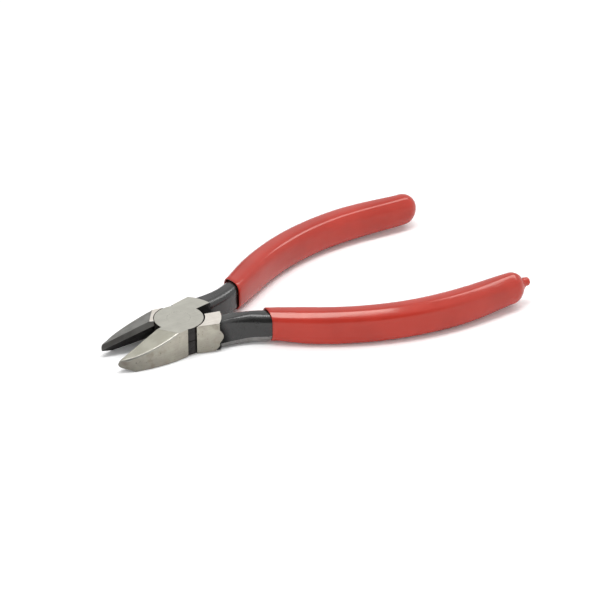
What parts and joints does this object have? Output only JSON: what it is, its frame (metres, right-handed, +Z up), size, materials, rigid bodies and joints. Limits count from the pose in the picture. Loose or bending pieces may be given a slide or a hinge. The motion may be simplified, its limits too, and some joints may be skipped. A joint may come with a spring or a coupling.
{
  "type": "side cutters",
  "caption": "Small lap-joint side cutters: ground steel head with angled cutting jaws, black forged shanks and thin dipped red handle grips.",
  "frame": {"origin": "pivot axis of the lap joint, on the flat underside of the head", "axes": "+X along the tool from the pivot to the handles, -X to the jaw tips; +Z up along the pivot axis, out of the head's upper face"},
  "size_m": [0.1295, 0.0708, 0.0108],
  "materials": {
    "forged_steel": "satin ground head, black oxide shanks",
    "rivet_steel": "ground flush, satin",
    "red_dip": "smooth glossy dipped vinyl"
  },
  "bodies": {
    "lower_lever": {"lower_half": "forged_steel", "lower_grip": "red_dip", "pivot_rivet": "rivet_steel"},
    "upper_lever": {"upper_half": "forged_steel", "upper_grip": "red_dip"}
  },
  "joints": [
    {"name": "jaw_hinge", "type": "hinge", "parent": "lower_lever", "child": "upper_lever", "pos_m": [0, 0, 0], "axis": [0, 0, 1], "range_deg": [-23.2, 22]}
  ]
}
